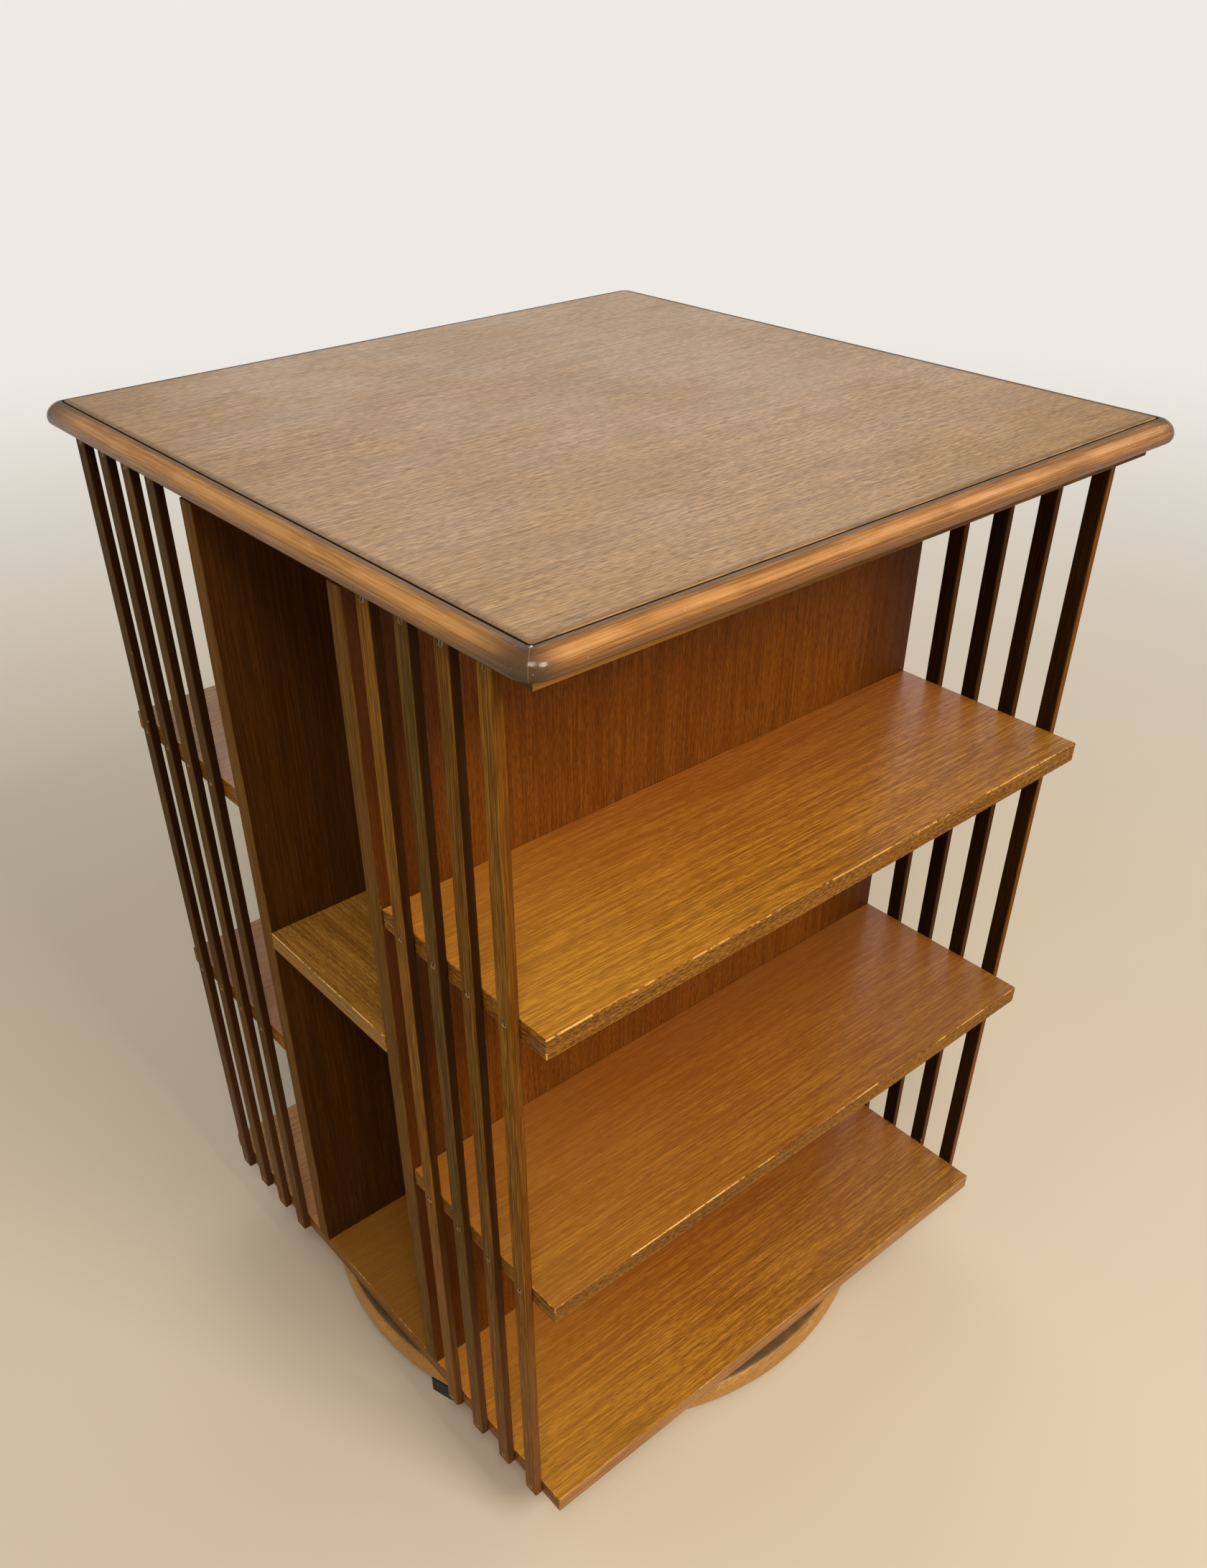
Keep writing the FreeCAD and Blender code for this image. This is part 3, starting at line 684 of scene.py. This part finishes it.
# True for an edge that lies over a diagonal of the plan
def on_diagonal(mesh, edge):
    ends = [mesh.vertices[index].co for index in edge.vertices]
    places = (*ends, (ends[0] + ends[1]) / 2)
    return all(abs(abs(place.x) - abs(place.y)) < nothing for place in places)


def apply_modifier(piece, modifier):
    hold(piece)
    bpy.ops.object.modifier_apply(modifier=modifier.name)


# Cuts one piece's shape out of another
def cut(piece, cutter):
    modifier = piece.modifiers.new("cut", "BOOLEAN")
    modifier.operation = "DIFFERENCE"
    modifier.solver = "EXACT"
    modifier.object = cutter
    apply_modifier(piece, modifier)
    bpy.data.objects.remove(cutter)


dents = bpy.data.textures.new("arris_dents", "CLOUDS")
dents.noise_scale = dent_size
dents.noise_depth = 3


# Wears the arrises of a piece back by uneven amounts, leaving its flat sides as they are
def wear_back(piece, low, high, depth):
    def on_side(vertex):
        return any(abs(vertex.co[axis] - side[axis]) < nothing for axis in range(3) for side in (low, high))

    group = piece.vertex_groups.new(name="rounded")
    rounded = [vertex.index for vertex in piece.data.vertices if not on_side(vertex)]
    group.add(rounded, 1.0, "REPLACE")
    modifier = piece.modifiers.new("wear", "DISPLACE")
    modifier.texture = dents
    modifier.texture_coords = "LOCAL"
    modifier.vertex_group = group.name
    modifier.mid_level = 0.0
    modifier.strength = -depth
    apply_modifier(piece, modifier)
    piece.vertex_groups.clear()


# Marks the middle of each arris for the wear in the finish, and the whole of it in the knocked places
def mark_arrises(piece, knocks=()):
    def inside(place, low, high):
        return all(low[axis] < place[axis] < high[axis] for axis in range(3))

    mesh = piece.data
    for name in ("arris", "knocked"):
        mesh.attributes.new(name, "FLOAT", "FACE")
    arris = mesh.attributes["arris"]
    knocked = mesh.attributes["knocked"]
    for face in mesh.polygons:
        straightness = max(abs(part) for part in face.normal)
        rounded = straightness < flat_side
        face.use_smooth = rounded
        arris.data[face.index].value = float(straightness < facing_share)
        hit = any(inside(face.center, low, high) for low, high in knocks)
        knocked.data[face.index].value = float(rounded and hit)


# A board or bar with eased arrises that use has worn unevenly
def worn_bar(name, low, high, arris):
    piece = block(name, low, high)
    size = high - low
    length = max(range(3), key=lambda axis: size[axis])
    take_up(piece)
    pick(piece, "EDGE", runs_along(length))
    bpy.ops.mesh.subdivide(number_cuts=int(size[length] / dent_spacing))
    pick(piece, "EDGE", on_arris(low, high))
    bpy.ops.mesh.bevel(offset=arris, segments=arris_steps, profile=0.5, affect="EDGES")
    let_go()
    wear_back(piece, low, high, min(arris_wear, arris / 2))
    return piece


# Gives a piece its finish and body, and lets it stand for its CAD nodes
def finish(piece, body, slot, materials, *stands_for):
    piece.data.materials.clear()
    for material in materials:
        piece.data.materials.append(finishes[material])
    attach(piece, body)
    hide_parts(*stands_for)
    return piece


# Gives the faces that a test accepts another of the piece's finishes
def refinish(piece, index, accepts):
    for face in piece.data.polygons:
        if accepts(face):
            face.material_index = index


# A board of the carcass: veneered faces, and edge veneer across its two other axes
def board(node, slot, face_finish, edge_finishes, thin_axis, knocks=(), hole=0):
    low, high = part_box(node)
    piece = worn_bar(node + "_finished", low, high, board_arris)
    if hole:
        let_go()
        bpy.ops.mesh.primitive_cylinder_add(vertices=spindle_hole_facets, radius=hole, depth=1,
                                            location=(low + high) / 2)
        cut(piece, settle("hole"))
    mark_arrises(piece, knocks)
    finish(piece, "carcass", slot, (face_finish, *edge_finishes), node)
    edge_axes = [axis for axis in range(3) if axis != thin_axis]
    for index, axis in enumerate(edge_axes):
        refinish(piece, index + 1, lambda face: abs(face.normal[axis]) > nearer_share)
    return piece


# Top panel, with rounded corners and an edge that rolls over towards the groove
def top_panel():
    low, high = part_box("top_panel")
    piece = block("top_panel_finished", low, high - up * panel_roll_drop)
    take_up(piece)
    pick(piece, "FACE", lambda mesh, face: face.normal.z > facing_share)
    quarter = math.pi / 2
    for step in range(panel_roll_steps):
        near = quarter * step / panel_roll_steps
        far = quarter * (step + 1) / panel_roll_steps
        inset = panel_roll * (math.cos(near) - math.cos(far))
        lift = panel_roll_drop * (math.sin(far) - math.sin(near))
        bpy.ops.mesh.inset(thickness=inset, depth=lift)
    pick(piece, "EDGE", on_diagonal)
    bpy.ops.mesh.bevel(offset=panel_corner, segments=panel_corner_steps, profile=0.5, affect="EDGES")
    let_go()
    for face in piece.data.polygons:
        rolled = upright_share < face.normal.z < level_share
        face.use_smooth = rolled or upright_share < abs(face.normal.x * face.normal.y)
    return finish(piece, "carcass", "oak_veneer_top", ("top",), "top_panel")


# Bullnosed lipping on the right-hand side, with half of each rounded corner, its groove and its mitred ends
def lipping():
    low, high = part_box("top_lipping_right")
    inner = half_panel
    outer = high.x
    crown = high.z
    bottom = low.z
    nose = bottom + lipping_toe
    reach = half_panel - panel_corner
    piece = upright_sheet("lipping", Vector((inner, -reach, bottom)), Vector((outer, -reach, crown)))
    take_up(piece)

    def corner(x, z):
        point = Vector((x, -reach, z))
        return lambda mesh, vertex: (vertex.co - point).length < nothing * 10

    # The crown is a quarter ellipse, so it is rounded as a circle in a stretched sheet and flattened again
    curve_width = outer - inner - groove_width
    flatten = (crown - nose) / curve_width
    bpy.ops.mesh.select_all(action="SELECT")
    bpy.ops.transform.resize(value=(1, 1, 1 / flatten), center_override=(inner, -reach, crown))
    pick(piece, "VERT", corner(outer, crown))
    bpy.ops.mesh.bevel(offset=curve_width, segments=lipping_nose_steps, profile=0.5, affect="VERTICES",
                       clamp_overlap=True)
    bpy.ops.mesh.select_all(action="SELECT")
    bpy.ops.transform.resize(value=(1, 1, flatten), center_override=(inner, -reach, crown))
    pick(piece, "VERT", corner(outer, bottom))
    bpy.ops.mesh.bevel(offset=lipping_toe, segments=lipping_toe_steps, profile=0.5, affect="VERTICES",
                       clamp_overlap=True)
    groove_side = inner + groove_width
    groove_floor = crown - groove_depth
    for place, facing_way in (((groove_side, 0, 0), (1, 0, 0)), ((0, 0, groove_floor), (0, 0, 1))):
        bpy.ops.mesh.select_all(action="SELECT")
        bpy.ops.mesh.bisect(plane_co=place, plane_no=facing_way)
    pick(piece, "FACE", lambda mesh, face: face.center.x < groove_side and face.center.z > groove_floor)
    bpy.ops.mesh.delete(type="FACE")
    bpy.ops.mesh.select_all(action="SELECT")
    bpy.ops.mesh.dissolve_faces()
    bpy.ops.mesh.select_all(action="SELECT")
    half_corner = math.radians(45)
    near_centre = (reach, -reach, 0)
    far_centre = (reach, reach, 0)
    bpy.ops.transform.rotate(value=half_corner, orient_axis="Z", center_override=near_centre)
    bpy.ops.mesh.spin(steps=lipping_corner_steps, angle=half_corner, center=near_centre, axis=spin_axis)
    bpy.ops.mesh.extrude_region_move(TRANSFORM_OT_translate={"value": (0, 2 * reach, 0)})
    bpy.ops.mesh.spin(steps=lipping_corner_steps, angle=half_corner, center=far_centre, axis=spin_axis)
    bpy.ops.mesh.select_all(action="SELECT")
    bpy.ops.mesh.remove_doubles(threshold=nothing)
    bpy.ops.mesh.normals_make_consistent(inside=False)
    hold(piece)
    bpy.ops.object.shade_smooth_by_angle(angle=lipping_smooth_angle)
    return piece


# A copy of a piece with its own mesh, turned about the spindle
def turned_copy(piece, name, angle):
    copy = piece.copy()
    copy.data = piece.data.copy()
    copy.name = name
    copy.data.name = name
    bpy.context.scene.collection.objects.link(copy)
    copy.data.transform(Matrix.Rotation(angle, 4, "Z"))
    return copy


def lippings():
    master = lipping()
    for count, side in enumerate(("right", "back", "left", "front")):
        copy = turned_copy(master, "lipping_" + side, math.radians(90 * count))
        along = "y" if side in ("left", "right") else "x"
        finish(copy, "carcass", "oak_lipping", ("lipping_" + along,), "top_lipping_" + side)
    bpy.data.objects.remove(master)


# Levels of the four rows of screws through the slats
screw_levels = {}
for row in ("bottom", "lower", "upper", "top"):
    low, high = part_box("slat_screws_" + row)
    screw_levels[row] = (low.z + high.z) / 2


# A slat with a countersunk mouth for each of its screws, knocked pale along the mouth's lower lip
def slat(node, side, look):
    low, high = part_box(node)
    piece = worn_bar(node + "_finished", low, high, slat_arris)
    face = high.x if side > 0 else low.x
    reach = Vector((screw_sink, screw_mouth_radius, 0))
    slope = (screw_mouth_radius - screw_radius) / screw_sink
    wide_radius = screw_mouth_radius + slope * screw_sink
    lower_lips = []
    for level in screw_levels.values():
        place = Vector((face, (low.y + high.y) / 2, level))
        lower_lips.append((place - reach - up * screw_mouth_radius, place + reach - up * screw_radius / 2))
        let_go()
        bpy.ops.mesh.primitive_cone_add(vertices=mouth_facets, radius1=screw_radius, radius2=wide_radius,
                                        depth=2 * screw_sink, location=place,
                                        rotation=(0, side * math.pi / 2, 0))
        mouth = settle("mouth")
        take_up(mouth)
        pick(mouth, "FACE", lambda mesh, face: face.normal.x * side < -facing_share)
        inward = {"value": (-side * (screw_head_rim + screw_head_height), 0, 0)}
        bpy.ops.mesh.extrude_region_move(TRANSFORM_OT_translate=inward)
        let_go()
        cut(piece, mouth)
    mark_arrises(piece, lower_lips)
    return finish(piece, "carcass", "oak_slat", ("slat_" + look,), node)


# Countersunk slotted screw whose head lies on the origin and faces up
def screw():
    let_go()
    bpy.ops.mesh.primitive_cylinder_add(vertices=screw_facets, radius=screw_radius, depth=screw_head_rim,
                                        location=(0, 0, -screw_head_rim / 2))
    piece = settle("screw")
    take_up(piece)
    pick(piece, "FACE", lambda mesh, face: face.normal.z < -facing_share)
    taper = screw_shank_radius / screw_radius
    bpy.ops.mesh.extrude_region_move(TRANSFORM_OT_translate={"value": (0, 0, -screw_head_height)})
    bpy.ops.transform.resize(value=(taper, taper, 1), center_override=(0, 0, 0))
    shank_end = {"value": (0, 0, screw_head_height - screw_length)}
    bpy.ops.mesh.extrude_region_move(TRANSFORM_OT_translate=shank_end)
    pick(piece, "FACE", lambda mesh, face: face.normal.z > facing_share)
    bpy.ops.mesh.bevel(offset=screw_rim_bevel, segments=2, profile=0.5, affect="EDGES")
    let_go()
    reach = Vector((screw_radius * 2, screw_slot_width / 2, screw_slot_depth))
    cut(piece, block("slot", -reach, reach))
    slot = piece.data.attributes.new("slot", "FLOAT", "FACE")
    for face in piece.data.polygons:
        face.use_smooth = abs(face.normal.z) < facing_share and face.center.z < -screw_slot_depth
        inside = -screw_slot_depth - nothing < face.center.z < -nothing
        slot.data[face.index].value = float(inside and abs(face.center.y) < screw_slot_width / 2 + nothing)
    return piece


# The row of screws at one level, one in each slat, their slots roughly upright as the driver left them
def screw_row(master, row, slat_places):
    level = screw_levels[row]
    copies = []
    for count, (side, face, y) in enumerate(slat_places):
        copy = master.copy()
        copy.data = master.data.copy()
        bpy.context.scene.collection.objects.link(copy)
        tilt = math.pi / 2 + screw_tilt * math.sin(screw_turn_step * (count + screw_turn_rise * level))
        place = Matrix.Translation(Vector((face - side * screw_sink, y, level)))
        turn = Matrix.Rotation(side * math.pi / 2, 4, "Y") @ Matrix.Rotation(tilt + math.pi / 2, 4, "Z")
        copy.data.transform(place @ turn)
        copies.append(copy)
    let_go()
    for copy in copies:
        copy.select_set(True)
    bpy.context.view_layer.objects.active = copies[0]
    bpy.ops.object.join()
    piece = copies[0]
    piece.name = "screws_" + row
    piece.data.name = piece.name
    finish(piece, "carcass", "dark_screw", ("screw",), "slat_screws_" + row)


# Slats of both ends and the screws through them
def slatted_ends():
    looks = {
        "left": ("golden", "brown", "olive", "golden", "umber", "olive", "umber", "umber"),
        "right": ("golden", "brown", "olive", "golden", "brown", "golden", "olive", "brown"),
    }
    places = []
    for end, side in (("left", -1), ("right", 1)):
        for index, look in enumerate(looks[end]):
            node = "slat_" + end + "_" + str(index + 1)
            slat(node, side, look)
            low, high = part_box(node)
            places.append((side, high.x if side > 0 else low.x, (low.y + high.y) / 2))
    master = screw()
    for row in screw_levels:
        screw_row(master, row, places)
    bpy.data.objects.remove(master)


def base_disc():
    low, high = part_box("base_disc")
    let_go()
    bpy.ops.mesh.primitive_cylinder_add(vertices=disc_facets, radius=high.x, depth=high.z - low.z,
                                        location=(low + high) / 2)
    piece = settle("base_disc_finished")
    take_up(piece)
    pick(piece, "EDGE", lambda mesh, edge: not runs_along(z_axis)(mesh, edge))
    bpy.ops.mesh.bevel(offset=disc_edge_round, segments=disc_edge_steps, profile=0.5, affect="EDGES")
    let_go()
    for face in piece.data.polygons:
        face.use_smooth = abs(face.normal.z) < level_share
    return finish(piece, "base", "oak_base", ("disc",), "base_disc")


# A foot block that follows the disc's rim
def foot(index):
    node = "foot_" + str(index + 1)
    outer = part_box("base_disc")[1].x - foot_inset
    inner = outer - foot_depth
    turn = foot_length / outer
    piece = upright_sheet(node + "_finished", Vector((inner, 0, 0)), Vector((outer, 0, disc_low)))
    take_up(piece)
    bpy.ops.mesh.select_all(action="SELECT")
    bpy.ops.mesh.spin(steps=foot_steps, angle=turn, center=(0, 0, 0), axis=spin_axis)
    bpy.ops.mesh.select_all(action="SELECT")
    bpy.ops.mesh.normals_make_consistent(inside=False)

    def on_end_corner(mesh, edge):
        ends = [mesh.vertices[index].co for index in edge.vertices]
        angles = [math.atan2(place.y, place.x) for place in ends]
        half_step = turn / foot_steps / 2
        return runs_along(z_axis)(mesh, edge) and (max(angles) < half_step or min(angles) > turn - half_step)

    pick(piece, "EDGE", on_end_corner)
    bpy.ops.mesh.bevel(offset=foot_corner, segments=foot_corner_steps, profile=0.5, affect="EDGES")
    let_go()
    start = first_foot_angle - turn / 2 + index * math.radians(360 / foot_count)
    piece.data.transform(Matrix.Rotation(start, 4, "Z"))
    modifier = piece.modifiers.new("arris", "BEVEL")
    modifier.width = foot_arris
    modifier.segments = arris_steps
    modifier.limit_method = "ANGLE"
    modifier.angle_limit = foot_sharp_angle
    apply_modifier(piece, modifier)
    bpy.ops.object.shade_smooth_by_angle(angle=foot_smooth_angle)
    return finish(piece, "base", "black_foot", ("foot",), node)


# Gives CAD nodes that are shown as they are a finish
def dress(finish_name, *names):
    for name in names:
        for material_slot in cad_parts[name].material_slots:
            material_slot.material = finishes[finish_name]


# The four long shelves, the front ones with a knocked stretch along the outer arris
def long_shelves():
    for level, (knock_low, knock_high) in (("lower", lower_knock), ("upper", upper_knock)):
        for side in ("front", "back"):
            node = "shelf_" + side + "_" + level
            low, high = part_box(node)
            corner = Vector((low.x, low.y, high.z))
            knocks = ((corner + knock_low, corner + knock_high),) if side == "front" else ()
            board(node, "oak_veneer_shelf", "shelf", ("edge_y", "edge_x"), z_axis, knocks)


# The two partitions, whose inner faces wall in the niches; those faces take a darker copy of the finish,
# painted shade
def partitions():
    for side, inward in (("front", 1), ("back", -1)):
        piece = board("partition_" + side, "oak_partition", "partition", ("edge_z", "edge_z"), y_axis)
        piece.data.materials.append(finishes["wall"])
        refinish(piece, 3, lambda face: face.normal.y * inward > facing_share)


top_panel()
lippings()
long_shelves()
for side in ("left", "right"):
    board("niche_shelf_" + side, "oak_veneer_shelf", "niche", ("niche_edge", "edge_x"), z_axis)
board("bottom_board", "oak_veneer_shelf", "shelf", ("board_edge_y", "board_edge_x"), z_axis,
      hole=spindle_hole_radius)
partitions()
slatted_ends()
base_disc()
for index in range(foot_count):
    foot(index)

# The dividers take the darker niche wall finish, painted shade
dress("wall", "divider_left", "divider_right")
dress("inside", "sub_top", "pivot_block")
dress("rail_y", "sub_rail_left", "sub_rail_right")
dress("rail_x", "sub_rail_front", "sub_rail_back")
dress("beech", "shelf_dowels", "partition_dowels")
dress("screw", "top_screws")
dress("steel", "spindle", "spindle_flange", "flange_screws")
dress("polished", "thrust_ball")
dress("bronze", "lower_bush", "pivot_cup")

backdrop = tone(238, 234, 227)


# Pale floor that fades into the backdrop
def floor():
    let_go()
    bpy.ops.mesh.primitive_plane_add(size=200)
    plane = settle("floor")
    material, tree, shader, place = start_finish("pale_floor")
    cloudy = mix(tree, clouds(tree, place, 0.8, 3.0), tone(206, 194, 174), tone(214, 202, 182))
    away = add(tree, "VectorMath", {0: place}, operation="LENGTH").outputs["Value"]
    far = rise(tree, away, fade_start, fade_end)
    black = tone(0, 0, 0)
    feed(tree, shader.inputs["Base Color"], mix(tree, far, cloudy, black))
    feed(tree, shader.inputs["Emission Color"], mix(tree, far, black, backdrop))
    shader.inputs["Emission Strength"].default_value = 1.0
    shader.inputs["Specular IOR Level"].default_value = 0.0
    shader.inputs["Roughness"].default_value = 0.6
    plane.data.materials.append(material)


# A soft rectangular lamp that faces a place on the bookcase
def lamp(name, place, size, power, warmth, aim=(0, 0, 0.5)):
    light = bpy.data.lights.new(name, "AREA")
    light.shape = "RECTANGLE"
    light.size, light.size_y = size
    light.energy = power
    light.color = warmth
    holder = bpy.data.objects.new(name, light)
    holder.location = place
    holder.rotation_mode = "QUATERNION"
    holder.rotation_quaternion = (Vector(place) - Vector(aim)).to_track_quat("Z", "Y")
    bpy.context.scene.collection.objects.link(holder)


def studio():
    world = bpy.data.worlds.new("studio")
    world.use_nodes = True
    tree = world.node_tree
    sky = tree.nodes["Background"]
    height = split(tree, add(tree, "TexCoord").outputs["Generated"])["Z"]
    glow = rise(tree, height, 0.05, 0.45, 0.72, 0.38)
    seen = add(tree, "LightPath").outputs["Is Camera Ray"]
    feed(tree, sky.inputs["Color"], mix(tree, seen, sky_white, backdrop))
    feed(tree, sky.inputs["Strength"], calc(tree, "MAXIMUM", glow, seen))
    bpy.context.scene.world = world
    lamp("key", (0.1, -2.3, 2.5), (1.0, 0.8), 62, (1.0, 0.9, 0.76))
    lamp("ceiling", (-1.1, -1.3, 2.5), (0.7, 0.7), 24, lamp_white)
    lamp("right", (2.3, -1.0, 2.2), (1.4, 0.25), 5, lamp_white)
    lamp("back", (1.9, 2.3, 2.2), (2.6, 1.6), 21, (1.0, 0.97, 0.94), (0, 0, 0.8))


def camera():
    seen = bpy.data.cameras.new("camera")
    seen.lens = camera_lens
    seen.sensor_width = camera_sensor
    seen.shift_x, seen.shift_y = camera_shift
    holder = bpy.data.objects.new("camera", seen)
    down = camera_ahead.cross(camera_right)
    turn = Matrix((camera_right, -down, -camera_ahead)).transposed().to_4x4()
    holder.matrix_world = Matrix.Translation(camera_place) @ turn
    bpy.context.scene.collection.objects.link(holder)
    bpy.context.scene.camera = holder


floor()
studio()
camera()
bpy.context.scene.view_settings.view_transform = "Standard"
